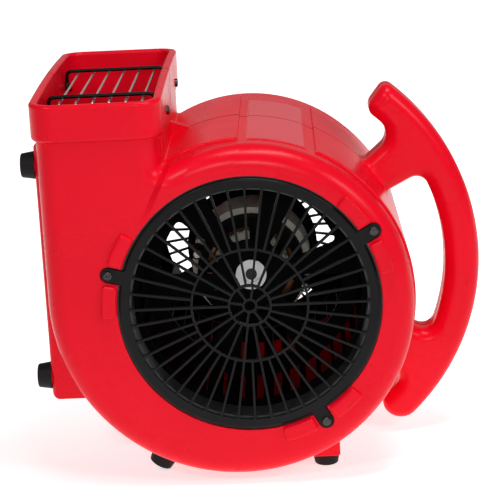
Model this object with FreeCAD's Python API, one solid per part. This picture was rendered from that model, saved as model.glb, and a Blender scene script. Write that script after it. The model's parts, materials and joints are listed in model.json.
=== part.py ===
import FreeCAD, Part
import math
import os

V = FreeCAD.Vector
os.makedirs("parts", exist_ok=True)

# Working axes: fan axis along Y through x = 0, z = 0, front face of the housing at y = 0.
# Finished parts are moved so that the origin is on the floor, under the middle of the box.

# Housing
DEPTH = 312.0
WALL = 4.0
SEAM_Y = DEPTH / 2
SEAM_GAP = 0.5
EDGE_ROUND = 20.0
SCROLL_START_R = 162.0
SCROLL_STEP = 6.26
SCROLL_ARCS = 6
NECK_RIGHT_X = -82.0
NECK_CORNER_R = 4.0
BLANK_TOP_Z = 262.0
BLANK_TOP_R = 30.0
RIM_ARCH = ((-20.0, 209.9), (156.0, 217.5), (332.0, 213.7))
NECK_TOP_Z = 184.0
TONGUE_TOP_Z = 205.0
COLLAR_BOTTOM_Z = 174.0
COLLAR_PROUD = 4.5
COLLAR_SHOULDER = 4.0
RIM_ROUND = 3.5

# Handle
HANDLE_IN_R = 209.0
HANDLE_OUT_R = 245.5
HANDLE_DEPTH = 48.0
HANDLE_ANGLES = (-50.6, 52.8)
HANDLE_ROOTS = ((-39.0, -23.3), (27.5, 41.5))
ROOT_IN_R = 150.0
ROOT_FLARE = 6.0
HANDLE_ROUND = 14.0
UPPER_TIP_R = (12.0, 9.0)
LOWER_TIP_R = (14.5, 21.0)
HANDLE_HOOK_R = 18.0
HANDLE_CORNER_R = 13.0
HANDLE_TIP_WALL = 11.0

# Base box
BASE_X = -212.0
BASE_Z = (-108.0, 166.0)
BASE_Y = (45.0, 267.0)
BASE_IN_X = -150.0
BASE_ROUND = 8.0

# Inlets, the same front and rear
OPENING_R = 124.0
FLANGE_IN_R = 122.5
FLANGE_OUT_R = 140.0
FLANGE_DEPTH = 8.0
RECESS_R = 133.2
RECESS_DEPTH = 4.5
EAR_RECESS = 3.0
EAR_ANGLES = (30.0, 165.0, -60.0)
EAR_R = 145.0
EAR_HALF = 7.4
EAR_ROUND = 1.0
EAR_GAP = 0.9
EAR_BOSS_R = 7.0
EAR_BOSS_DEPTH = 20.0
BLOCK_ANGLES = (4.2, 18.0)
BLOCK_R = (133.8, 148.6)
BLOCK_PROUD = 6.0
BLOCK_CORNER_R = 3.0
BLOCK_ROUND = 2.8

# Grilles
GRILLE_PROUD = 1.0
GRILLE_DEPTH = 4.0
GRILLE_RING_R = (121.0, 131.3)
GRILLE_RIM_ROUND = 2.8
MID_RING_R = 58.4
INNER_RING_R = 20.9
HUB_RING_R = 6.5
RIB_WIDTH = 2.3
OUTER_RIBS = 44
INNER_RIBS = 22
SPOKES = 8
SPOKE_FIRST = 34.0
FRONT_SKIRT_R = (118.8, 121.6)
FRONT_SKIRT_END = 31.0
REAR_SKIRT_R = (103.6, 106.4)
REAR_SKIRT_END = 7.8

# Screws share one clearance in every hole
CLEARANCE = 0.05
SCREW_R = 2.0
SCREW_HEAD_R = 4.6
SCREW_HEAD = 3.0

# Housing screws, along Y through bosses
HANDLE_SCREWS = ((227.0, 43.0), (227.0, -43.0), (193.0, 35.0), (193.0, -31.5))
BASE_SCREW = (214.0, -154.5)
SEAM_BOSS_R = 7.0
SEAM_HEAD_Y = SEAM_Y + 16.0
SEAM_SCREW_END_Y = SEAM_Y - 16.0

# Rubber feet
BASE_FOOT_Y = (60.0, 252.0)
BASE_FOOT_Z = (-86.0, 140.0)
FOOT_R = 14.5
FOOT_TIP_R = 12.2
BASE_FOOT_H = 14.5
FLOOR_Z = -193.5
BOTTOM_FOOT_Y = (56.0, 256.0)
BOTTOM_FOOT_X = 72.0
FOOT_BLOCK_Z = -181.0
TILT_ANGLE = -119.0
TILT_FOOT_R = (199.0, 214.9)
FOOT_SCREW_SINK = 8.0
FOOT_SCREW_BITE = 7.0

# Outlet guard
BAR_R = 2.0
ROD_R = 1.4
BAR_Y = (84.0, 244.0)
BAR_Z = 204.0
BAR_X = (-197.4, -88.6)
BAR_BEND = 6.0
EYE_Z = 186.0
EYE_R = 4.6
ROD_COUNT = 6
ROD_X0 = -184.0
ROD_PITCH = 16.8
ROD_Y = (60.0, 264.0)
ROD_DROP = 12.0

# Impeller
WHEEL_R = 130.0
BLADE_IN_R = 114.0
WHEEL_Y = (38.0, 274.0)
BLADES = 40
BLADE_T = 1.5
BLADE_SWEEP = 5.5
END_RING = 4.0
DISC_Y = (111.5, 115.0)
HUB_R = 16.3
HUB_Y = (110.0, 123.5)
HUB_SINK_R = 9.0
HUB_SINK = 2.5
WINDOW_R = (38.0, 97.0)
WINDOWS = 6
WINDOW_FIRST = 20.0
WINDOW_SPAN = 38.0
WINDOW_ROUND = 5.0
SET_SCREW_Y = 119.5

# Motor
SHAFT_R = 6.0
SHAFT_Y = (111.0, 232.0)
STATOR_Y = (150.0, 205.0)
STATOR_R = (38.0, 64.0)
ROTOR_R = 37.3
BELL_R = (53.5, 57.5)
BELL_LENGTH = 24.0
BELL_END = 4.0
VENT_R = (28.0, 48.0)
SEAT_R = 20.0
SEAT_LENGTH = 12.0
BEARING_R = (8.7, 13.0, 16.0)
BEARING_W = 10.0
BALL_R = 2.1
BALLS = 8
BOLT_R = 60.75
BOLT_LUG_R = 6.0
BOLT_ANGLES = (70.0, 160.0, 250.0, 340.0)
WINDING_R = (41.0, 51.0)
WINDING_T = 10.0

# Motor bracket
BRACKET_T = 3.0
BRACKET_ANGLES = (90.0, 210.0, -30.0)
BRACKET_PLATE_R = (24.0, 73.0)
ARM_WIDTH = 30.0
LEG_R = 103.0
TAB_R = 139.0
TAB_SCREW_R = 131.0
CAPACITOR_R = 15.0
CAPACITOR_LENGTH = 38.0
CAPACITOR_AT = 84.0
STUD_R = 4.0

# Speed switch and cord inlet, on the rear face of the neck
PANEL_X = -146.0
PANEL_Z = 122.0
PANEL_HALF = 29.0
PANEL_T = 3.0
SWITCH_HALF = 14.0
SWITCH_DEPTH = 24.0
BUSH_R = 5.0
BUSH_END_Y = DEPTH + 10.0
SPINDLE_R = 3.0
KNOB_R = 14.0
KNOB_Y = (DEPTH + 11.0, DEPTH + 25.0)
GLAND_X = -166.0
GLAND_Z = 66.0
GLAND_R = 9.0
GLAND_BORE_R = 4.2

# Web in the corner between neck and drum
WEB_T = 10.0
WEB_TOP_Z = 162.0
WEB_DROP = 10.0
WEB_REACH = 29.0

# Raised bands on the drum: first angle, last angle, height
BAND_Y = (36.0, 276.0)
BANDS = ((-62.0, 63.8, 2.6), (67.3, 88.7, 0.8), (92.0, 121.0, 2.6))

# From the working axes to the finished origin
ORIGIN = V(9.5, 166.0, FLOOR_Z)


def cylinder(radius, y0, y1, x=0.0, z=0.0):
    return Part.makeCylinder(radius, y1 - y0, V(x, y0, z), V(0, 1, 0))


def ring(r_in, r_out, y0, y1, x=0.0, z=0.0):
    return cylinder(r_out, y0, y1, x, z).cut(cylinder(r_in, y0, y1, x, z))


def box(x0, x1, y0, y1, z0, z1):
    return Part.makeBox(x1 - x0, y1 - y0, z1 - z0, V(x0, y0, z0))


def polar(radius, degrees, y=0.0):
    angle = math.radians(degrees)
    return V(radius * math.cos(angle), y, radius * math.sin(angle))


def arc(centre, radius, a0, a1, y):
    points = [centre + polar(radius, a, y) for a in (a0, (a0 + a1) / 2, a1)]
    return Part.Arc(*points).toShape()


def sector(r_in, r_out, a0, a1, y0, y1):
    """Part of a ring between two angles, measured from +X towards +Z."""
    arcs = [arc(V(0, 0, 0), radius, a0, a1, y0) for radius in (r_in, r_out)]
    sides = [Part.makeLine(polar(r_in, a, y0), polar(r_out, a, y0)) for a in (a0, a1)]
    wire = Part.Wire(Part.__sortEdges__(arcs + sides))
    return Part.Face(wire).extrude(V(0, y1 - y0, 0))


def scroll_arcs(inset):
    """Centre, radius and two end angles of each arc of the scroll, clockwise from the neck."""
    start = math.degrees(math.acos((NECK_RIGHT_X + NECK_CORNER_R) / (SCROLL_START_R + NECK_CORNER_R)))
    step = (start + 180.0) / SCROLL_ARCS
    centre = V(0, 0, 0)
    arcs = []
    for i in range(SCROLL_ARCS):
        begin = start - i * step
        if i:
            centre = centre - polar(SCROLL_STEP, begin)
        arcs.append((centre, SCROLL_START_R + i * SCROLL_STEP - inset, begin, begin - step))
    return arcs


def outline(inset, y):
    """Closed outline of scroll and neck in the plane y, moved into the solid by inset."""
    arcs = scroll_arcs(inset)
    start = arcs[0][2]
    corner = polar(SCROLL_START_R + NECK_CORNER_R, start)
    end = arcs[-1][0] + polar(arcs[-1][1], 180.0)
    left = end.x
    right = NECK_RIGHT_X - inset
    top = BLANK_TOP_Z - inset
    r = BLANK_TOP_R - inset
    edges = [arc(*values, y) for values in arcs]
    edges += [
        Part.makeLine(V(left, y, end.z), V(left, y, top - r)),
        arc(V(left + r, 0, top - r), r, 180, 90, y),
        Part.makeLine(V(left + r, y, top), V(right - r, y, top)),
        arc(V(right - r, 0, top - r), r, 90, 0, y),
        Part.makeLine(V(right, y, top - r), V(right, y, corner.z)),
        arc(corner, NECK_CORNER_R + inset, 180, start + 180, y),
    ]
    return Part.Wire(edges)


def slab(inset, y0, y1):
    return Part.Face(outline(inset, y0)).extrude(V(0, y1 - y0, 0))


def edges_at(shape, planes):
    found = []
    for edge in shape.Edges:
        bounds = edge.BoundBox
        if any(abs(bounds.YMin - y) < 1e-3 and abs(bounds.YMax - y) < 1e-3 for y in planes):
            found.append(edge)
    return found


def fillet_planes(shape, radius, planes):
    return shape.makeFillet(radius, edges_at(shape, planes))


def along(shape, direction, base):
    """Turn a shape built along +Z from the origin to a direction and move it to base."""
    turned = shape.copy()
    turned.Placement = FreeCAD.Placement(base, FreeCAD.Rotation(V(0, 0, 1), direction))
    return turned


def mirrored(shape):
    return shape.mirror(V(0, SEAM_Y, 0), V(0, 1, 0))


def fuse_all(shapes):
    return shapes[0].fuse(shapes[1:]).removeSplitter()


def bar(r0, r1, degrees, half_width, y0, y1):
    """Straight radial bar."""
    flat = box(r0, r1, y0, y1, -half_width, half_width)
    flat.rotate(V(0, 0, 0), V(0, -1, 0), degrees)
    return flat


def screw(direction, base, length, head_r=SCREW_HEAD_R, head=SCREW_HEAD, shank_r=SCREW_R):
    """Pan head screw; base is the middle of the underside of the head, direction points to the tip."""
    top = Part.makeCylinder(head_r, head, V(0, 0, -head))
    rim = [e for e in top.Edges if abs(e.BoundBox.ZMax + head) < 1e-6 and e.BoundBox.ZLength < 1e-6]
    top = top.makeFillet(head * 0.5, rim)
    long, wide = head_r * 1.2, head_r * 0.24
    for turn in (0, 90):
        slot = Part.makeBox(long, wide, head * 0.5, V(-long / 2, -wide / 2, -head))
        slot.rotate(V(0, 0, 0), V(0, 0, 1), turn)
        top = top.cut(slot)
    shape = top.fuse(Part.makeCylinder(shank_r, length))
    return along(shape, direction, base)


def hex_nut(across, bore, thickness, direction, base):
    reach = across / math.sqrt(3)
    turns = [math.radians(60 * i + 30) for i in range(6)]
    corners = [V(reach * math.cos(t), reach * math.sin(t), 0) for t in turns]
    face = Part.Face(Part.makePolygon(corners + corners[:1]))
    nut = face.extrude(V(0, 0, thickness)).cut(Part.makeCylinder(bore, thickness))
    return along(nut, direction, base)


# Housing ----------------------------------------------------------------------------------

def handle_edge_radius(point, inset):
    """Rounding of the handle's edge along Y that passes through point; 0 for a root's inner end."""
    reach = math.hypot(point.x, point.z)
    angle = math.degrees(math.atan2(point.z, point.x))
    outer = int(reach > (HANDLE_IN_R + HANDLE_OUT_R) / 2)
    hollow_tip = HANDLE_ROUND - inset + 1
    if reach < HANDLE_IN_R - 5:
        return 0
    if angle > HANDLE_ANGLES[1] - 5:
        return hollow_tip if inset else UPPER_TIP_R[outer]
    if angle < HANDLE_ANGLES[0] + 5:
        return hollow_tip if inset else LOWER_TIP_R[outer]
    return (HANDLE_HOOK_R if angle > HANDLE_ROOTS[1][1] - 5 else HANDLE_CORNER_R) + inset


def handle_half(inset):
    """Front half of the handle bar and its two roots; a positive inset gives the hollow inside."""
    a0, a1 = HANDLE_ANGLES
    turn = math.degrees(HANDLE_TIP_WALL / HANDLE_IN_R) if inset else 0.0
    y0, y1 = SEAM_Y - HANDLE_DEPTH / 2 + inset, SEAM_Y - SEAM_GAP / 2
    parts = [sector(HANDLE_IN_R + inset, HANDLE_OUT_R - inset, a0 + turn, a1 - turn, y0, y1)]
    for b0, b1 in HANDLE_ROOTS:
        parts.append(sector(ROOT_IN_R, HANDLE_IN_R + inset + 2, b0 + turn / 3, b1 - turn / 3, y0, y1))
    solid = fuse_all(parts)
    groups = {}
    for edge in solid.Edges:
        if abs(edge.BoundBox.YLength - (y1 - y0)) < 1e-3:
            groups.setdefault(handle_edge_radius(edge.CenterOfMass, inset), []).append(edge.CenterOfMass)
    groups.pop(0, None)
    for radius, centres in groups.items():
        same = [e for e in solid.Edges if any((e.CenterOfMass - c).Length < 1e-3 for c in centres)]
        solid = solid.makeFillet(radius, same)
    return fillet_planes(solid, HANDLE_ROUND - inset, (y0,))


def flared_handle_half():
    """Outside of the handle's front half, with its roots flared where they meet the drum's skin."""
    y0, y1 = SEAM_Y - HANDLE_DEPTH, SEAM_Y - SEAM_GAP / 2
    skin = slab(-BANDS[0][2], y0, y1)
    joined = skin.fuse(handle_half(0))
    seams = []
    for edge in joined.Edges:
        bounds = edge.BoundBox
        ends = [Part.Vertex(edge.valueAt(u)) for u in (edge.FirstParameter, edge.LastParameter)]
        on_skin = all(skin.distToShape(v)[0] < 1e-3 for v in ends)
        if on_skin and bounds.XMin > 0 and y0 + 1 < bounds.YMin and bounds.YMin < y1 - 1:
            seams.append(edge)
    return joined.makeFillet(ROOT_FLARE, seams).cut(skin)


def outer_drum():
    return fillet_planes(slab(0, 0, DEPTH), EDGE_ROUND, (0, DEPTH))


def cavity():
    return fillet_planes(slab(WALL, WALL, DEPTH - WALL), EDGE_ROUND - WALL, (WALL, DEPTH - WALL))


def rim_cutter():
    """Everything above the arched outlet rim."""
    x = -300.0
    left, middle, right = [V(x, y, z) for y, z in RIM_ARCH]
    top = BLANK_TOP_Z + 10
    upper = [V(x, right.y, top), V(x, left.y, top)]
    sides = [Part.makeLine(a, b) for a, b in ((right, upper[0]), (upper[0], upper[1]), (upper[1], left))]
    wire = Part.Wire([Part.Arc(left, middle, right).toShape()] + sides)
    return Part.Face(wire).extrude(V(600, 0, 0))


def collar():
    """Outlet collar: a tube round the top of the neck, with a rounded shoulder and rim."""
    left = outline(0, 0).BoundBox.XMin
    block = box(left - COLLAR_PROUD, NECK_RIGHT_X + COLLAR_PROUD, -COLLAR_PROUD, DEPTH + COLLAR_PROUD,
                COLLAR_BOTTOM_Z, BLANK_TOP_Z - BLANK_TOP_R)
    upright = [e for e in block.Edges if e.BoundBox.ZLength > 10]
    block = block.makeFillet(EDGE_ROUND + COLLAR_PROUD, upright)
    shoulder = [e for e in block.Edges if e.BoundBox.ZMax < COLLAR_BOTTOM_Z + 1]
    block = block.makeFillet(COLLAR_SHOULDER, shoulder)
    tube_shape = block.cut(rim_cutter()).cut(cavity())
    rim = [e for e in tube_shape.Edges if e.BoundBox.ZMin > TONGUE_TOP_Z]
    return tube_shape.makeFillet(RIM_ROUND, rim)


def base_box(inset):
    block = box(BASE_X + inset, BASE_IN_X, BASE_Y[0] + inset, BASE_Y[1] - inset,
                BASE_Z[0] + inset, BASE_Z[1] - inset)
    outer = [e for e in block.Edges if e.BoundBox.XMax < BASE_X + inset + 1]
    return block.makeFillet(BASE_ROUND - inset, outer)


def drum_bands():
    """Raised bands of the drum's skin, rounded all round their outer edges."""
    drum = slab(0, 0, DEPTH)
    bands = []
    for a0, a1, proud in BANDS:
        lift = slab(-proud, *BAND_Y).common(sector(100, 230, a0, a1, 0, DEPTH))
        rims = []
        for edge in lift.Edges:
            middle = edge.valueAt((edge.FirstParameter + edge.LastParameter) / 2)
            if drum.distToShape(Part.Vertex(middle))[0] > 0.9 * proud:
                rims.append(edge)
        bands.append(lift.makeFillet(proud * 0.75, rims))
    return bands


def ear(angle, extra, y0, y1):
    """Screw ear of a grille, or its recess when extra is positive."""
    half = EAR_HALF + extra
    at = polar(EAR_R, angle)
    neck = bar(GRILLE_RING_R[0] + 3, EAR_R, angle, half, y0, y1)
    return fuse_all([neck, cylinder(half, y0, y1, at.x, at.z)])


def ear_bores(y0, y1):
    at = [polar(EAR_R, angle) for angle in EAR_ANGLES]
    return [cylinder(SCREW_R + CLEARANCE, y0, y1, p.x, p.z) for p in at]


def inlet_extras():
    """Flange ring, screw bosses and raised blocks round the front inlet."""
    shapes = [ring(FLANGE_IN_R, FLANGE_OUT_R, 0.5, FLANGE_DEPTH)]
    for angle in EAR_ANGLES:
        at = polar(EAR_R, angle)
        shapes.append(cylinder(EAR_BOSS_R, EAR_RECESS, EAR_BOSS_DEPTH, at.x, at.z))
        for side in (-1, 1):
            a0, a1 = sorted(angle + side * a for a in BLOCK_ANGLES)
            block = sector(*BLOCK_R, a0, a1, -BLOCK_PROUD, WALL)
            corners = [e for e in block.Edges if e.BoundBox.YLength > WALL]
            block = block.makeFillet(BLOCK_CORNER_R, corners)
            shapes.append(fillet_planes(block, BLOCK_ROUND, (-BLOCK_PROUD,)))
    return shapes


def inlet_cuts():
    above = -BLOCK_PROUD - 1
    cuts = [cylinder(OPENING_R, above, FLANGE_DEPTH + 1), cylinder(RECESS_R, above, RECESS_DEPTH)]
    cuts += [ear(angle, EAR_GAP, above, EAR_RECESS) for angle in EAR_ANGLES]
    return cuts + ear_bores(0, EAR_BOSS_DEPTH - 2)


def foot_places():
    """Base point, direction and height of every foot, grouped by kind."""
    left, down, tilt = V(-1, 0, 0), V(0, 0, -1), polar(1, TILT_ANGLE)
    straight_h = FOOT_BLOCK_Z - FLOOR_Z
    tilted_h = TILT_FOOT_R[1] - TILT_FOOT_R[0]
    base = [(V(BASE_X, y, z), left, BASE_FOOT_H) for y in BASE_FOOT_Y for z in BASE_FOOT_Z]
    straight = [(V(BOTTOM_FOOT_X, y, FOOT_BLOCK_Z), down, straight_h) for y in BOTTOM_FOOT_Y]
    tilted = [(tilt * TILT_FOOT_R[0] + V(0, y, 0), tilt, tilted_h) for y in BOTTOM_FOOT_Y]
    return base, straight, tilted


def foot_mouldings():
    """Bosses behind the base feet, blocks over the straight feet, cones over the tilted feet."""
    base, straight, tilted = foot_places()
    bosses = [along(Part.makeCylinder(FOOT_R - 3, WALL + 2), d * -1, point) for point, d, _ in base]
    blocks = []
    for point, _, _ in straight:
        block = box(point.x - FOOT_R, point.x + FOOT_R, point.y - FOOT_R - 4, point.y + FOOT_R + 4,
                    point.z, point.z + 30)
        edges = [e for e in block.Edges if e.BoundBox.ZMin < point.z + 1]
        blocks.append(block.makeFillet(2.5, edges))
    cones = [along(Part.makeCone(FOOT_R + 0.5, FOOT_R + 4, 26), d * -1, point) for point, d, _ in tilted]
    return bosses, blocks, cones


def foot_holes():
    base, straight, tilted = foot_places()
    bore = Part.makeCylinder(SCREW_R + CLEARANCE, FOOT_SCREW_BITE + 1.5)
    return [along(bore, d * -1, point + d) for point, d, _ in base + straight + tilted]


def corner_web():
    """Small web at the seam, in the corner between neck and drum."""
    x = NECK_RIGHT_X - 1
    y = SEAM_Y - WEB_T / 2
    top = V(x, y, WEB_TOP_Z)
    corners = [top, top + V(WEB_REACH, 0, -WEB_DROP), top + V(0, 0, -WEB_REACH), top]
    return Part.Face(Part.makePolygon(corners)).extrude(V(0, WEB_T, 0))


def screw_bosses(places, span):
    return [cylinder(SEAM_BOSS_R, *span, polar(r, a).x, polar(r, a).z) for r, a in places]


def screw_bores(places):
    """Bores for the seam screws: a shank bore across the seam and a wide one behind the head."""
    holes = []
    for radius, angle in places:
        at = polar(radius, angle)
        holes.append(cylinder(SCREW_R + CLEARANCE, SEAM_SCREW_END_Y - 1, SEAM_HEAD_Y + 1, at.x, at.z))
        holes.append(cylinder(SCREW_HEAD_R + 0.4, SEAM_HEAD_Y, BASE_Y[1] + 1, at.x, at.z))
    return holes


def panel_cuts():
    wall = (DEPTH - WALL - 1, DEPTH + 1)
    cuts = [box(PANEL_X - SWITCH_HALF - 1, PANEL_X + SWITCH_HALF + 1, *wall,
                PANEL_Z - SWITCH_HALF - 1, PANEL_Z + SWITCH_HALF + 1)]
    cuts.append(cylinder(GLAND_R - 1, *wall, GLAND_X, GLAND_Z))
    for x, z in panel_screw_places():
        cuts.append(cylinder(SCREW_R + CLEARANCE, *wall, x, z))
    return cuts


def panel_screw_places():
    reach = PANEL_HALF - 6
    return [(PANEL_X + sx * reach, PANEL_Z + sz * reach) for sx in (-1, 1) for sz in (-1, 1)]


def guard_holes():
    bore = Part.makeCylinder(SCREW_R + CLEARANCE, 30)
    blind = Part.makeCylinder(SCREW_R + CLEARANCE, 7.5)
    holes = []
    for y in BAR_Y:
        holes.append(along(bore, V(1, 0, 0), V(NECK_RIGHT_X - 15, y, EYE_Z)))
        holes.append(along(blind, V(-1, 0, 0), V(BAR_X[0] - BAR_R, y, EYE_Z)))
    return holes


def split_at_seam(shape):
    """Front and rear parts of a moulding, with the seam gap between them."""
    front = shape.common(box(-300, 300, -30, SEAM_Y - SEAM_GAP / 2, -260, 260))
    rear = shape.common(box(-300, 300, SEAM_Y + SEAM_GAP / 2, DEPTH + 30, -260, 260))
    return front, rear


def housing_halves():
    drum = outer_drum()
    bosses, straight, tilted = foot_mouldings()
    shell = fuse_all([drum, base_box(0), corner_web()] + straight + tilted + drum_bands())
    shell = shell.cut(base_box(WALL).cut(drum))
    shell = shell.common(box(-300, 300, -30, DEPTH + 30, -260, NECK_TOP_Z))
    inner = screw_bosses([BASE_SCREW], (BASE_Y[0] + 2, BASE_Y[1] - 2)) + bosses
    shell = shell.fuse([collar()] + inner).cut(cavity())
    extras = inlet_extras()
    cuts = inlet_cuts()
    shell = shell.fuse(extras + [mirrored(e) for e in extras])
    cuts += [mirrored(c) for c in cuts] + foot_holes() + screw_bores([BASE_SCREW])
    shell = shell.cut(cuts + panel_cuts() + guard_holes() + bracket_screw_holes())
    front, rear = split_at_seam(shell)
    below = box(-300, 300, 0, DEPTH, -260, TONGUE_TOP_Z)
    tongue = slab(WALL / 2 + 0.2, SEAM_Y - 2, SEAM_Y + 3).cut(slab(WALL, SEAM_Y - 2, SEAM_Y + 3))
    rebate = slab(WALL / 2, SEAM_Y - 1, SEAM_Y + 3.3).common(below)
    return front.fuse(tongue.common(below)).removeSplitter(), rear.cut(rebate).removeSplitter()


def handle_halves():
    """Hollow handle, moulded on the drum's skin."""
    y0 = SEAM_Y - HANDLE_DEPTH / 2 + 2
    bosses = screw_bosses(HANDLE_SCREWS, (y0, SEAM_Y - SEAM_GAP / 2))
    half = flared_handle_half().cut(handle_half(WALL)).fuse([b.common(handle_half(0)) for b in bosses])
    half = half.cut([slab(0, 0, DEPTH)] + drum_bands())
    bores = screw_bores(HANDLE_SCREWS)
    return half.cut(bores), mirrored(half).cut(bores)


def seam_screw_set():
    length = SEAM_HEAD_Y - SEAM_SCREW_END_Y
    places = HANDLE_SCREWS + (BASE_SCREW,)
    return [screw(V(0, -1, 0), polar(r, a, SEAM_HEAD_Y), length) for r, a in places]


# Grilles ----------------------------------------------------------------------------------

def grille():
    y0, y1 = -GRILLE_PROUD, GRILLE_DEPTH - GRILLE_PROUD
    half = RIB_WIDTH / 2
    rim = ring(*GRILLE_RING_R, y0, y1)
    outer = [e for e in edges_at(rim, (y0,)) if e.BoundBox.XMax > GRILLE_RING_R[1] - 1]
    parts = [rim.makeFillet(GRILLE_RIM_ROUND, outer)]
    parts += [ring(r - half, r + half, y0, y1) for r in (MID_RING_R, INNER_RING_R, HUB_RING_R)]
    for r0, r1, first, count in (
        (MID_RING_R, GRILLE_RING_R[0] + 1, 0, OUTER_RIBS),
        (INNER_RING_R, MID_RING_R, 0, INNER_RIBS),
        (HUB_RING_R, INNER_RING_R, SPOKE_FIRST, SPOKES),
    ):
        parts += [bar(r0, r1, first + i * 360 / count, half, y0, y1) for i in range(count)]
    ears = [ear(angle, 0, y0, y1 - 0.1) for angle in EAR_ANGLES]
    parts += [fillet_planes(e, EAR_ROUND, (y0,)) for e in ears]
    return fuse_all(parts).cut(ear_bores(y0 - 1, y1 + 1))


def inlet_ring(skirt_r, skirt_end):
    """Round lip that guides the air into the wheel; its flange is held under the grille."""
    flange = ring(skirt_r[0], RECESS_R - 0.3, GRILLE_DEPTH - GRILLE_PROUD, RECESS_DEPTH)
    return flange.fuse(ring(*skirt_r, RECESS_DEPTH - 1, skirt_end)).removeSplitter()


def grille_screws():
    return [screw(V(0, 1, 0), polar(EAR_R, a, -GRILLE_PROUD), EAR_BOSS_DEPTH - 3) for a in EAR_ANGLES]


# Outlet guard -----------------------------------------------------------------------------

def tube(points, radius, bend):
    """Round wire along a bent path of straight runs."""
    edges = []
    start = points[0]
    for before, here, after in zip(points, points[1:], points[2:]):
        back = (before - here).normalize()
        ahead = (after - here).normalize()
        p0 = here + back * bend
        p1 = here + ahead * bend
        centre = here + (back + ahead) * bend
        mid = centre + (here - centre).normalize() * bend
        edges.append(Part.makeLine(start, p0))
        edges.append(Part.Arc(p0, mid, p1).toShape())
        start = p1
    edges.append(Part.makeLine(start, points[-1]))
    profile = Part.Wire(Part.makeCircle(radius, points[0], points[1] - points[0]))
    return Part.Wire(edges).makePipeShell([profile], True, True)


def crossbar(y):
    left, right = BAR_X
    foot = EYE_Z + EYE_R
    path = [V(left, y, foot), V(left, y, BAR_Z), V(right, y, BAR_Z), V(right, y, foot)]
    wire = tube(path, BAR_R, BAR_BEND)
    eyes = [Part.makeTorus(EYE_R, BAR_R, V(x, y, EYE_Z), V(1, 0, 0)) for x in (left, right)]
    return wire.fuse(eyes)


def guard_rod(index):
    x = ROD_X0 + index * ROD_PITCH
    z = BAR_Z - BAR_R - ROD_R - 0.02
    front, back = ROD_Y
    return tube([V(x, front, z - ROD_DROP), V(x, front, z), V(x, back, z)], ROD_R, 4.0)


def guard_screws():
    shapes = []
    for y in BAR_Y:
        left = BAR_X[0] + BAR_R + CLEARANCE
        shapes.append(screw(V(-1, 0, 0), V(left, y, EYE_Z), 11.0))
        right = NECK_RIGHT_X + COLLAR_PROUD
        shapes.append(screw(V(-1, 0, 0), V(right, y, EYE_Z), 14.0))
    return shapes


# Feet -------------------------------------------------------------------------------------

def foot(height):
    body = Part.makeCone(FOOT_R, FOOT_TIP_R, height)
    rim = [e for e in body.Edges if e.BoundBox.ZMin > height - 1e-3]
    body = body.makeFillet(1.5, rim)
    seat = V(0, 0, height - FOOT_SCREW_SINK)
    body = body.cut(Part.makeCylinder(SCREW_HEAD_R + 1, FOOT_SCREW_SINK + 1, seat))
    return body.cut(Part.makeCylinder(SCREW_R + CLEARANCE, height))


def feet(places):
    return [along(foot(h), direction, point) for point, direction, h in places]


def foot_screws(places):
    shapes = []
    for point, direction, h in places:
        seat = h - FOOT_SCREW_SINK
        shapes.append(screw(direction * -1, point + direction * seat, seat + FOOT_SCREW_BITE))
    return shapes


# Impeller and motor -----------------------------------------------------------------------

def blade(degrees):
    thick = math.degrees(BLADE_T / BLADE_IN_R)
    inner, middle, outer = BLADE_IN_R + 0.5, (BLADE_IN_R + WHEEL_R) / 2, WHEEL_R - 0.5
    y = WHEEL_Y[0] + END_RING
    faces = []
    for turn in (0, thick):
        points = [(inner, 0), (middle, -0.29 * BLADE_SWEEP), (outer, -BLADE_SWEEP)]
        faces.append(Part.Arc(*[polar(r, degrees + turn + d, y) for r, d in points]).toShape())
    tips = [Part.makeLine(polar(r, degrees + d, y), polar(r, degrees + d + thick, y))
            for r, d in ((inner, 0), (outer, -BLADE_SWEEP))]
    wire = Part.Wire(Part.__sortEdges__(faces + tips))
    return Part.Face(wire).extrude(V(0, WHEEL_Y[1] - WHEEL_Y[0] - 2 * END_RING, 0))


def impeller_disc():
    """Middle disc of the wheel, with windows between its spokes."""
    disc = ring(HUB_R + CLEARANCE, BLADE_IN_R + 0.45, *DISC_Y)
    step = 360 / WINDOWS
    for i in range(WINDOWS):
        start = WINDOW_FIRST + i * step
        window = sector(*WINDOW_R, start, start + WINDOW_SPAN, DISC_Y[0] - 1, DISC_Y[1] + 1)
        corners = [e for e in window.Edges if e.BoundBox.YLength > 1]
        disc = disc.cut(window.makeFillet(WINDOW_ROUND, corners))
    return disc


def impeller_hub():
    sink = cylinder(HUB_SINK_R, HUB_Y[0], HUB_Y[0] + HUB_SINK)
    thread = Part.makeCylinder(SCREW_R + CLEARANCE, HUB_R + 1, V(0, SET_SCREW_Y, 0))
    return ring(SHAFT_R + CLEARANCE, HUB_R, *HUB_Y).cut([sink, thread])


def impeller_blades():
    return [blade(i * 360 / BLADES) for i in range(BLADES)]


def impeller_end_rings():
    y0, y1 = WHEEL_Y
    return [ring(BLADE_IN_R, WHEEL_R, a, a + END_RING) for a in (y0, y1 - END_RING)]


def set_screw():
    start = V(0, SET_SCREW_Y, SHAFT_R + CLEARANCE)
    pin = Part.makeCylinder(SCREW_R, HUB_R - SHAFT_R - 1, start)
    return pin.cut(Part.makeCylinder(SCREW_R / 2, 3, start + V(0, 0, HUB_R - SHAFT_R - 3)))


def bolt_cylinders(radius, y0, y1):
    """One cylinder along Y at each motor bolt."""
    return [cylinder(radius, y0, y1, polar(BOLT_R, a).x, polar(BOLT_R, a).z) for a in BOLT_ANGLES]


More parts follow.
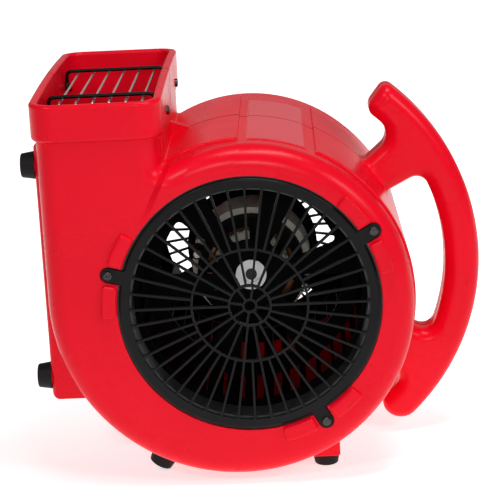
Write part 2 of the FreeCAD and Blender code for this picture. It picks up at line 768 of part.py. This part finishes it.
def bell(front):
    """Motor end bell with bearing seat, vent slots and bolt lugs; the rear one is mirrored."""
    y1 = STATOR_Y[0]
    y0 = y1 - BELL_LENGTH
    shape = fuse_all([
        ring(*BELL_R, y0, y1),
        ring(SHAFT_R + 1.5, BELL_R[1], y0, y0 + BELL_END),
        ring(BEARING_R[2] + CLEARANCE, SEAT_R, y0 + BELL_END - 1, y0 + BELL_END + SEAT_LENGTH),
    ] + bolt_cylinders(BOLT_LUG_R, y0, y1))
    cuts = [cylinder(BELL_R[0], y0 + BELL_END, y1 + 1).cut(cylinder(SEAT_R, y0, y1 + 2))]
    cuts += [sector(*VENT_R, a, a + 30, y0 - 1, y0 + BELL_END + 1) for a in range(0, 360, 45)]
    shape = shape.cut(cuts + bolt_cylinders(SCREW_R + CLEARANCE, y0 - 1, y1 + 1))
    middle = sum(STATOR_Y) / 2
    return shape if front else shape.mirror(V(0, middle, 0), V(0, 1, 0))


def bearing_spans():
    front = STATOR_Y[0] - BELL_LENGTH + BELL_END + 0.5
    rear = STATOR_Y[1] + BELL_LENGTH - BELL_END - 0.5
    return (front, front + BEARING_W), (rear - BEARING_W, rear)


def bearing_balls():
    balls = []
    for y0, y1 in bearing_spans():
        for i in range(BALLS):
            at = polar((BEARING_R[0] + BEARING_R[1]) / 2, i * 360 / BALLS, (y0 + y1) / 2)
            balls.append(Part.makeSphere(BALL_R, at))
    return balls


def stator():
    y0, y1 = STATOR_Y
    shape = ring(*STATOR_R, y0, y1)
    slots = [bar(STATOR_R[0] - 1, STATOR_R[0] + 9, a, 2.2, y0 - 1, y1 + 1) for a in range(0, 360, 15)]
    return shape.cut(slots + bolt_cylinders(SCREW_R + CLEARANCE, y0 - 1, y1 + 1))


def windings():
    y0, y1 = STATOR_Y
    shapes = []
    for a, b in ((y0 - WINDING_T, y0 - 0.3), (y1 + 0.3, y1 + WINDING_T)):
        coil = ring(*WINDING_R, a, b)
        shapes.append(coil.makeFillet(3.0, edges_at(coil, (a, b))))
    return shapes


def rotor():
    return ring(SHAFT_R + CLEARANCE, ROTOR_R, STATOR_Y[0] + 1, STATOR_Y[1] - 1)


def bracket_y():
    start = STATOR_Y[1] + BELL_LENGTH
    return start, start + BRACKET_T


def motor_bracket():
    y0, y1 = bracket_y()
    tab_y = DEPTH - FLANGE_DEPTH
    parts = [ring(*BRACKET_PLATE_R, y0, y1)]
    half = ARM_WIDTH / 2
    for angle in BRACKET_ANGLES:
        parts.append(bar(BRACKET_PLATE_R[1] - 5, LEG_R, angle, half, y0, y1))
        parts.append(bar(LEG_R - BRACKET_T, LEG_R, angle, half, y0, tab_y))
        parts.append(bar(LEG_R - BRACKET_T, TAB_R, angle, half, tab_y - BRACKET_T, tab_y))
    shape = fuse_all(parts)
    cuts = bolt_cylinders(SCREW_R + CLEARANCE, y0 - 1, y1 + 1)
    for angle in BRACKET_ANGLES:
        at = polar(TAB_SCREW_R, angle)
        cuts.append(cylinder(SCREW_R + CLEARANCE, tab_y - BRACKET_T - 1, tab_y + 1, at.x, at.z))
    cuts.append(cylinder(STUD_R + CLEARANCE, y0 - 1, y1 + 1, 0, CAPACITOR_AT))
    return shape.cut(cuts)


def bracket_screws():
    seat = DEPTH - FLANGE_DEPTH - BRACKET_T
    length = BRACKET_T + FLANGE_DEPTH - RECESS_DEPTH - 0.2
    return [screw(V(0, 1, 0), polar(TAB_SCREW_R, a, seat), length) for a in BRACKET_ANGLES]


def bracket_screw_holes():
    y0 = DEPTH - FLANGE_DEPTH
    holes = []
    for a in BRACKET_ANGLES:
        at = polar(TAB_SCREW_R, a)
        holes.append(cylinder(SCREW_R + CLEARANCE, y0 - 1, y0 + 4.3, at.x, at.z))
    return holes


def motor_bolts():
    start = STATOR_Y[0] - BELL_LENGTH
    length = bracket_y()[1] + 6 - start
    return [screw(V(0, 1, 0), polar(BOLT_R, a, start), length) for a in BOLT_ANGLES]


def motor_nuts():
    y = bracket_y()[1]
    return [hex_nut(7.0, SCREW_R + CLEARANCE, 3.2, V(0, 1, 0), polar(BOLT_R, a, y)) for a in BOLT_ANGLES]


def capacitor():
    y1 = bracket_y()[1]
    can = cylinder(CAPACITOR_R, y1, y1 + CAPACITOR_LENGTH, 0, CAPACITOR_AT)
    can = can.makeFillet(2.0, edges_at(can, (y1 + CAPACITOR_LENGTH,)))
    return can.fuse(cylinder(STUD_R, y1 - BRACKET_T - 9, y1, 0, CAPACITOR_AT))


# Speed switch and cord inlet --------------------------------------------------------------

def control_panel():
    plate = box(PANEL_X - PANEL_HALF, PANEL_X + PANEL_HALF, DEPTH, DEPTH + PANEL_T,
                PANEL_Z - PANEL_HALF, PANEL_Z + PANEL_HALF)
    upright = [e for e in plate.Edges if abs(e.BoundBox.YLength - PANEL_T) < 1e-3]
    plate = plate.makeFillet(6.0, upright)
    plate = plate.makeFillet(1.0, edges_at(plate, (DEPTH + PANEL_T,)))
    cuts = [cylinder(BUSH_R + CLEARANCE, DEPTH - 1, DEPTH + 5, PANEL_X, PANEL_Z)]
    cuts += [cylinder(SCREW_R + CLEARANCE, DEPTH - 1, DEPTH + 5, x, z) for x, z in panel_screw_places()]
    return plate.cut(cuts)


def switch_body():
    case = box(PANEL_X - SWITCH_HALF, PANEL_X + SWITCH_HALF, DEPTH - SWITCH_DEPTH, DEPTH,
               PANEL_Z - SWITCH_HALF, PANEL_Z + SWITCH_HALF)
    case = case.fuse(cylinder(BUSH_R, DEPTH - 1, BUSH_END_Y, PANEL_X, PANEL_Z))
    bore = (DEPTH - SWITCH_DEPTH + 3, BUSH_END_Y + 1)
    return case.cut(cylinder(SPINDLE_R + CLEARANCE, *bore, PANEL_X, PANEL_Z))


def knob():
    y0, y1 = KNOB_Y
    grip = cylinder(KNOB_R, y0, y1, PANEL_X, PANEL_Z)
    grip = grip.makeFillet(2.0, edges_at(grip, (y1,)))
    scoops = []
    for angle in range(20, 380, 40):
        at = polar(KNOB_R + 2.5, angle)
        scoops.append(cylinder(4.0, y0 + 3, y1 + 1, PANEL_X + at.x, PANEL_Z + at.z))
    pointer = box(PANEL_X - 1, PANEL_X + 1, y1 - 0.8, y1 + 1, PANEL_Z + 2, PANEL_Z + KNOB_R)
    spindle = cylinder(SPINDLE_R, DEPTH - SWITCH_DEPTH + 6, y0 + 1, PANEL_X, PANEL_Z)
    return grip.cut(scoops + [pointer]).fuse(spindle)


def cord_gland():
    y0 = DEPTH
    thread = cylinder(GLAND_R - 1 - CLEARANCE, y0 - WALL - 8, y0 + 1, GLAND_X, GLAND_Z)
    collar_part = cylinder(GLAND_R + 3, y0, y0 + 4, GLAND_X, GLAND_Z)
    cone = along(Part.makeCone(GLAND_R + 1, GLAND_R - 2, 13), V(0, 1, 0), V(GLAND_X, y0 + 3.5, GLAND_Z))
    shape = fuse_all([thread, collar_part, cone])
    return shape.cut(cylinder(GLAND_BORE_R, y0 - 30, y0 + 30, GLAND_X, GLAND_Z))


def panel_screws():
    top = DEPTH + PANEL_T
    return [screw(V(0, -1, 0), V(x, top, z), PANEL_T + WALL + 1) for x, z in panel_screw_places()]


def node_shapes():
    front, rear = housing_halves()
    front_handle, rear_handle = handle_halves()
    base, straight, tilted = foot_places()
    spans = bearing_spans()
    behind_bracket = V(0, bracket_y()[0], CAPACITOR_AT)
    on_panel = V(PANEL_X, DEPTH + PANEL_T, PANEL_Z)
    inside_wall = V(GLAND_X, DEPTH - WALL, GLAND_Z)
    return {
        "front_housing": [front],
        "rear_housing": [rear],
        "front_handle": [front_handle],
        "rear_handle": [rear_handle],
        "housing_screws": seam_screw_set(),
        "front_grille": [grille()],
        "front_inlet_ring": [inlet_ring(FRONT_SKIRT_R, FRONT_SKIRT_END)],
        "front_grille_screws": grille_screws(),
        "rear_grille": [mirrored(grille())],
        "rear_inlet_ring": [mirrored(inlet_ring(REAR_SKIRT_R, REAR_SKIRT_END))],
        "rear_grille_screws": [mirrored(s) for s in grille_screws()],
        "outlet_crossbars": [crossbar(y) for y in BAR_Y],
        "outlet_rods": [guard_rod(i) for i in range(ROD_COUNT)],
        "outlet_screws": guard_screws(),
        "base_feet": feet(base),
        "base_foot_screws": foot_screws(base),
        "straight_feet": feet(straight),
        "tilted_feet": feet(tilted),
        "bottom_foot_screws": foot_screws(straight + tilted),
        "impeller_disc": [impeller_disc()],
        "impeller_hub": [impeller_hub()],
        "impeller_blades": impeller_blades(),
        "impeller_end_rings": impeller_end_rings(),
        "impeller_set_screw": [set_screw()],
        "motor_shaft": [cylinder(SHAFT_R, *SHAFT_Y)],
        "rotor": [rotor()],
        "stator": [stator()],
        "windings": windings(),
        "front_bell": [bell(True)],
        "rear_bell": [bell(False)],
        "bearing_outer_rings": [ring(BEARING_R[1], BEARING_R[2], *span) for span in spans],
        "bearing_inner_rings": [ring(SHAFT_R + CLEARANCE, BEARING_R[0], *span) for span in spans],
        "bearing_balls": bearing_balls(),
        "motor_bolts": motor_bolts(),
        "motor_nuts": motor_nuts(),
        "motor_bracket": [motor_bracket()],
        "bracket_screws": bracket_screws(),
        "capacitor": [capacitor()],
        "capacitor_nut": [hex_nut(13.0, STUD_R + CLEARANCE, 5.0, V(0, -1, 0), behind_bracket)],
        "control_panel": [control_panel()],
        "panel_screws": panel_screws(),
        "switch_body": [switch_body()],
        "switch_nut": [hex_nut(14.0, BUSH_R + CLEARANCE, 3.0, V(0, 1, 0), on_panel)],
        "speed_knob": [knob()],
        "cord_gland": [cord_gland()],
        "gland_nut": [hex_nut(20.0, GLAND_R - 1, 5.0, V(0, -1, 0), inside_wall)],
    }


for name, shapes in node_shapes().items():
    moved = []
    for shape in shapes:
        piece = shape.copy()
        piece.translate(ORIGIN * -1)
        moved.append(piece)
    result = moved[0] if len(moved) == 1 else Part.makeCompound(moved)
    result.exportStep("parts/" + name + ".step")
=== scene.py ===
import json
import math

import bpy
from mathutils import Matrix, Vector

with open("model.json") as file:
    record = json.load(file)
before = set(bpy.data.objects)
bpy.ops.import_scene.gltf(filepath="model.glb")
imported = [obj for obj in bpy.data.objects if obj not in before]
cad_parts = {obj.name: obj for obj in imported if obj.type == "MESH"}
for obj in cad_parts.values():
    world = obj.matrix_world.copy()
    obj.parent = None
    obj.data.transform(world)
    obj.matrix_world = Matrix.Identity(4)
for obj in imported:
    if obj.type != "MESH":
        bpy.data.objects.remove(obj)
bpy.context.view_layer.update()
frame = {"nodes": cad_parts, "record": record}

# Lengths are in metres in the frame's axes: the fan turns about Y, the front grille faces -Y,
# the outlet blows up and the floor is z = 0.

# Camera
CAMERA_AT = (0.0344, -1.7885, 0.7021)
CAMERA_TARGET = (-0.0109, 0.0, 0.2052)
CAMERA_ROLL = -2.72  # degrees
CAMERA_CLIP = (0.05, 50)
SENSOR_MM = 36.0
LENS_MM = 3.4 * SENSOR_MM

# Area lights: place, aim, size and watts
LIGHTS = {
    "back_wall": ((0, 2.8, 1.2), (0, 0, 0.3), (4.0, 1.6), 4),
    "key": ((-1.4, -2.1, 2.1), (0, 0, 0.2), (0.4, 0.35), 15),
    "front_right": ((1.9, -1.6, 1.7), (0, 0, 0.25), (0.5, 0.8), 18),
    "camera_fill": ((0.05, -2.4, 0.95), (0, 0, 0.2), (0.4, 0.3), 8),
    "overhead": ((0.3, -0.4, 2.0), (0, 0, 0.2), (1.0, 0.3), 16),
}
WORLD_STRENGTH = 0.15

# The floor lies just under the feet and glows more the further it lies behind the machine
FLOOR_REACH = 7.0
FLOOR_Z = -0.0002
FLOOR_WHITE = ((0.86, 0.86, 0.86), (0.9, 0.9, 0.9))
FLOOR_ROUGHNESS = 0.7
FLOOR_TINT_SCALE = 3.0
FLOOR_GLOW = (0.2, 1.0)
FLOOR_GLOW_Y = (-0.55, 0.35)

# Where a noise's values mostly lie
NOISE_RANGE = (0.3, 0.7)

# Grain, slow waves and smudges that the plain surfaces share
GRAIN_STRENGTH = 0.35
WAVE_SCALE = 28.0
WAVE_STRENGTH = 0.5
SMUDGE_FINER = 2.7
COAT_ROUGHNESS = 0.1

# The red skin
RED = (0.85, 0.0022, 0.018)
RED_DEEP = (0.78, 0.0015, 0.015)

# The glossier panel on the drum's top, its colour blended toward pale pink as a painted sheen:
# middle and half width along X and Y, soft edge, and the heights between which it fades in
PANEL_X = (0.022, 0.0285)
PANEL_Y = (-0.023, 0.101)
PANEL_EDGE = 0.0008
PANEL_FADE_Z = (0.30, 0.31)
PANEL_SHEEN_PINK = (0.9, 0.2, 0.24)
PANEL_SHEEN_STRENGTH = 0.16
PANEL_GLOSS = 0.16

# The seam between the housing's halves: its y, half width and soft edge
SEAM = (-0.010, 0.0008, 0.0006)
SEAM_RED = (0.3, 0.001, 0.004)
SEAM_DULLNESS = 0.5

# The soft step where the neck's right edge runs down into the drum's front: the x and z of its
# top, its lean from upright, half width and height, the depths below its top between which it
# fades out, the y where the front ends, and how far its raised side reaches to the right
CREASE_AT = (-0.0915, 0.3245)
CREASE_LEAN = math.radians(25.1)
CREASE_HALF = 0.003
CREASE_HEIGHT = 0.004
CREASE_FADE = (0.05, 0.008)
CREASE_FRONT_Y = (-0.14, -0.155)
CREASE_REACH = (0.06, 0.02)


# Materials ---------------------------------------------------------------------------------

class Graph:
    """A material's node tree, with the few kinds of node that the surfaces need."""

    def __init__(self, name):
        self.name = name
        self.material = bpy.data.materials.new(name)
        self.material.use_nodes = True
        self.nodes = self.material.node_tree.nodes
        self.links = self.material.node_tree.links
        self.shader = self.nodes["Principled BSDF"]

    def node(self, kind, values, links):
        """New node with input values and links, both by input name or number."""
        node = self.nodes.new(kind)
        for socket, value in values.items():
            node.inputs[socket].default_value = value
        for socket, source in links.items():
            self.links.new(source, node.inputs[socket])
        return node

    def place(self):
        return self.nodes.new("ShaderNodeTexCoord").outputs["Object"]

    def axes(self):
        node = self.node("ShaderNodeSeparateXYZ", {}, {"Vector": self.place()})
        return (node.outputs[axis] for axis in "XYZ")

    def noise(self, scale, detail=4.0, rough=0.5, stretch=(1, 1, 1)):
        spread = self.node("ShaderNodeMapping", {"Scale": stretch}, {"Vector": self.place()})
        values = {"Scale": scale, "Detail": detail, "Roughness": rough}
        node = self.node("ShaderNodeTexNoise", values, {"Vector": spread.outputs["Vector"]})
        return node.outputs["Fac"]

    def ramp(self, value, colours):
        """The first colour at the low end of a noise's range, the second at its high end."""
        node = self.node("ShaderNodeValToRGB", {}, {"Fac": value})
        for element, position, colour in zip(node.color_ramp.elements, NOISE_RANGE, colours):
            element.position = position
            element.color = (*colour, 1)
        return node.outputs["Color"]

    def rescale(self, value, low, high, source=NOISE_RANGE):
        values = {"From Min": source[0], "From Max": source[1], "To Min": low, "To Max": high}
        return self.node("ShaderNodeMapRange", values, {"Value": value}).outputs["Result"]

    def mask(self, value, zero_at, one_at):
        return self.rescale(value, 0.0, 1.0, (zero_at, one_at))

    def calculate(self, operation, first, second=0.0):
        """Math node on a socket and a socket or number."""
        if isinstance(second, float):
            node = self.node("ShaderNodeMath", {1: second}, {0: first})
        else:
            node = self.node("ShaderNodeMath", {}, {0: first, 1: second})
        node.operation = operation
        return node.outputs["Value"]

    def band(self, value, middle, half, edge):
        """1 where value lies within half of middle, falling to 0 over the edge."""
        away = self.calculate("ABSOLUTE", self.calculate("SUBTRACT", value, middle))
        return self.mask(away, half + edge, half)

    def product(self, values):
        result = values[0]
        for value in values[1:]:
            result = self.calculate("MULTIPLY", result, value)
        return result

    def blend(self, mask, under, over):
        node = self.nodes.new("ShaderNodeMix")
        node.data_type = "RGBA"
        self.links.new(mask, node.inputs["Factor"])
        self.links.new(under, node.inputs["A"])
        node.inputs["B"].default_value = (*over, 1)
        return node.outputs["Result"]

    def bump(self, height, strength, distance):
        """Adds a height to the shader's normal."""
        values = {"Strength": strength, "Distance": distance}
        node = self.node("ShaderNodeBump", values, {"Height": height})
        if self.shader.inputs["Normal"].is_linked:
            self.links.new(self.source("Normal"), node.inputs["Normal"])
        self.feed("Normal", node.outputs["Normal"])

    def feed(self, socket, source):
        self.links.new(source, self.shader.inputs[socket])

    def source(self, socket):
        return self.shader.inputs[socket].links[0].from_socket


def surface(name, colours, roughness, grain, grain_depth, metallic=0.0, stretch=(1, 1, 1),
            cloud=9.0, wave_depth=0.0, specular=0.5, coat=0.0):
    """Moulded, painted or plain metal: cloudy colour, uneven gloss and fine grain."""
    graph = Graph(name)
    graph.feed("Base Color", graph.ramp(graph.noise(cloud, 5.0), colours))
    smudge = graph.noise(cloud * SMUDGE_FINER, 6.0, 0.65)
    graph.feed("Roughness", graph.rescale(smudge, *roughness))
    if wave_depth:
        graph.bump(graph.noise(WAVE_SCALE, 2.0), WAVE_STRENGTH, wave_depth)
    graph.bump(graph.noise(grain, 3.0, 0.6, stretch), GRAIN_STRENGTH, grain_depth)
    graph.shader.inputs["Metallic"].default_value = metallic
    graph.shader.inputs["Specular IOR Level"].default_value = specular
    graph.shader.inputs["Coat Weight"].default_value = coat
    graph.shader.inputs["Coat Roughness"].default_value = COAT_ROUGHNESS
    return graph


def neck_crease(graph, x, y, z):
    """Height, from 0 to 1, of the soft step beside the neck."""
    top_x, top_z = CREASE_AT
    side = graph.calculate("MULTIPLY", graph.calculate("SUBTRACT", x, top_x), math.cos(CREASE_LEAN))
    drop = graph.calculate("MULTIPLY", graph.calculate("SUBTRACT", z, top_z), -math.sin(CREASE_LEAN))
    across = graph.calculate("ADD", side, drop)
    lower, upper = (top_z - depth for depth in CREASE_FADE)
    return graph.product([
        graph.mask(across, -CREASE_HALF, CREASE_HALF),
        graph.mask(z, lower, upper),
        graph.mask(y, *CREASE_FRONT_Y),
        graph.mask(across, *CREASE_REACH),
    ])


def moulded_red():
    """The red skin: satin, with the glossier panel on the drum and its painted sheen, the seam line
    and the neck's crease.
    """
    graph = surface("red_plastic", (RED_DEEP, RED), (0.24, 0.34), 900.0, 0.00003,
                    wave_depth=0.0002, cloud=6.0, specular=0.16)
    x, y, z = graph.axes()
    panel = graph.product([
        graph.band(x, *PANEL_X, PANEL_EDGE),
        graph.band(y, *PANEL_Y, PANEL_EDGE),
        graph.mask(z, *PANEL_FADE_Z),
    ])
    seam = graph.band(y, *SEAM)

    shinier = graph.calculate("MULTIPLY", panel, -PANEL_GLOSS)
    duller = graph.calculate("MULTIPLY", seam, SEAM_DULLNESS)
    roughness = graph.calculate("ADD", graph.source("Roughness"), shinier)
    graph.feed("Roughness", graph.calculate("ADD", roughness, duller))

    # The panel's colour is blended toward pale pink: a painted sheen, on top of its real lower
    # roughness
    painted_sheen = graph.calculate("MULTIPLY", panel, PANEL_SHEEN_STRENGTH)
    colour = graph.blend(painted_sheen, graph.source("Base Color"), PANEL_SHEEN_PINK)
    graph.feed("Base Color", graph.blend(seam, colour, SEAM_RED))

    graph.bump(neck_crease(graph, x, y, z), 1.0, CREASE_HEIGHT)
    return graph


SURFACES = [
    moulded_red(),
    surface("black_plastic", ((0.004, 0.004, 0.0042), (0.008, 0.008, 0.0084)), (0.28, 0.42),
            1400.0, 0.0001, specular=0.17),
    surface("black_rubber", ((0.004, 0.004, 0.004), (0.009, 0.009, 0.009)), (0.5, 0.7),
            800.0, 0.0002, specular=0.25),
    surface("bright_steel", ((0.72, 0.69, 0.65), (0.9, 0.87, 0.83)), (0.2, 0.34),
            500.0, 0.00008, metallic=1.0, stretch=(1, 0.05, 1)),
    surface("black_steel", ((0.003, 0.003, 0.003), (0.007, 0.007, 0.007)), (0.16, 0.28),
            900.0, 0.00006, specular=0.6, coat=0.4),
    surface("zinc_steel", ((0.46, 0.46, 0.47), (0.62, 0.62, 0.62)), (0.28, 0.45),
            400.0, 0.0001, metallic=1.0),
    surface("copper", ((0.2, 0.07, 0.025), (0.34, 0.13, 0.05)), (0.35, 0.5),
            300.0, 0.0004, metallic=0.8),
    surface("cast_aluminium", ((0.62, 0.62, 0.62), (0.8, 0.8, 0.79)), (0.32, 0.5),
            600.0, 0.0003, metallic=0.9),
    surface("lamination", ((0.72, 0.69, 0.58), (0.88, 0.84, 0.72)), (0.42, 0.6),
            1200.0, 0.0003, stretch=(0.05, 1, 0.05)),
    surface("oiled_steel", ((0.02, 0.02, 0.021), (0.045, 0.045, 0.047)), (0.35, 0.5),
            500.0, 0.0001, metallic=0.7),
    # Parts inside the drum, made darker than their own finish and given little specular: painted
    # shade
    surface("inner_black_painted_shade", ((0.0005, 0.0005, 0.0005), (0.0015, 0.0015, 0.0015)), (0.5, 0.65),
            1200.0, 0.0002, specular=0.05),
    # The front inlet ring's black plastic, lightened to grey as painted light falling from the upper
    # right
    surface("skirt_black_painted_light", ((0.022, 0.022, 0.023), (0.035, 0.035, 0.036)), (0.35, 0.5),
            1200.0, 0.0002, specular=0.5),
    surface("coated_wire", ((0.002, 0.002, 0.002), (0.005, 0.005, 0.005)), (0.3, 0.42),
            900.0, 0.00005, specular=0.2),
]
MATERIALS = {graph.name: graph.material for graph in SURFACES}

# Nodes whose look differs from the rest of their slot
OWN_LOOKS = {
    # Inner parts, the grey capacitor too: darkened as painted shade
    "inner_black_painted_shade": ("impeller_disc", "impeller_blades", "impeller_end_rings", "rear_inlet_ring",
                    "motor_bracket", "front_bell", "rear_bell", "capacitor"),
    # Front inlet ring: its black lightened as painted light
    "skirt_black_painted_light": ("front_inlet_ring",),
    "coated_wire": ("outlet_crossbars",),
}


def paint_nodes():
    looks = {name: look for look, names in OWN_LOOKS.items() for name in names}
    for part in frame["record"]["subparts"]:
        node = frame["nodes"][part["node"]]
        for slot in node.material_slots:
            slot.material = MATERIALS[looks.get(part["node"], part["material_slot"])]


# Floor, light and camera -------------------------------------------------------------------

def floor_white():
    graph = Graph("floor_white")
    graph.feed("Base Color", graph.ramp(graph.noise(FLOOR_TINT_SCALE), FLOOR_WHITE))
    graph.shader.inputs["Roughness"].default_value = FLOOR_ROUGHNESS
    graph.shader.inputs["Emission Color"].default_value = (1, 1, 1, 1)
    _, y, _ = graph.axes()
    graph.feed("Emission Strength", graph.rescale(y, *FLOOR_GLOW, FLOOR_GLOW_Y))
    return graph.material


def make_floor():
    mesh = bpy.data.meshes.new("floor")
    signs = ((-1, -1), (1, -1), (1, 1), (-1, 1))
    corners = [(a * FLOOR_REACH, b * FLOOR_REACH, FLOOR_Z) for a, b in signs]
    mesh.from_pydata(corners, [], [(0, 1, 2, 3)])
    mesh.materials.append(floor_white())
    floor = bpy.data.objects.new("floor", mesh)
    bpy.context.collection.objects.link(floor)


def make_world():
    world = bpy.data.worlds.new("studio")
    world.use_nodes = True
    background = world.node_tree.nodes["Background"]
    background.inputs["Color"].default_value = (1, 1, 1, 1)
    background.inputs["Strength"].default_value = WORLD_STRENGTH
    bpy.context.scene.world = world


def aim(at, target):
    return (Vector(target) - Vector(at)).to_track_quat("-Z", "Y")


def area_light(name, at, target, size, watts):
    data = bpy.data.lights.new(name, "AREA")
    data.shape = "RECTANGLE"
    data.size, data.size_y = size
    data.energy = watts
    lamp = bpy.data.objects.new(name, data)
    lamp.location = at
    lamp.rotation_mode = "QUATERNION"
    lamp.rotation_quaternion = aim(at, target)
    bpy.context.collection.objects.link(lamp)


def make_camera():
    data = bpy.data.cameras.new("camera")
    data.sensor_width = SENSOR_MM
    data.lens = LENS_MM
    data.clip_start, data.clip_end = CAMERA_CLIP
    camera = bpy.data.objects.new("camera", data)
    camera.location = CAMERA_AT
    camera.rotation_mode = "QUATERNION"
    roll = Matrix.Rotation(math.radians(CAMERA_ROLL), 3, "Z").to_quaternion()
    camera.rotation_quaternion = aim(CAMERA_AT, CAMERA_TARGET) @ roll
    bpy.context.collection.objects.link(camera)
    bpy.context.scene.camera = camera


paint_nodes()
make_floor()
make_world()
for light, settings in LIGHTS.items():
    area_light(light, *settings)
make_camera()
bpy.context.scene.view_settings.view_transform = "Standard"
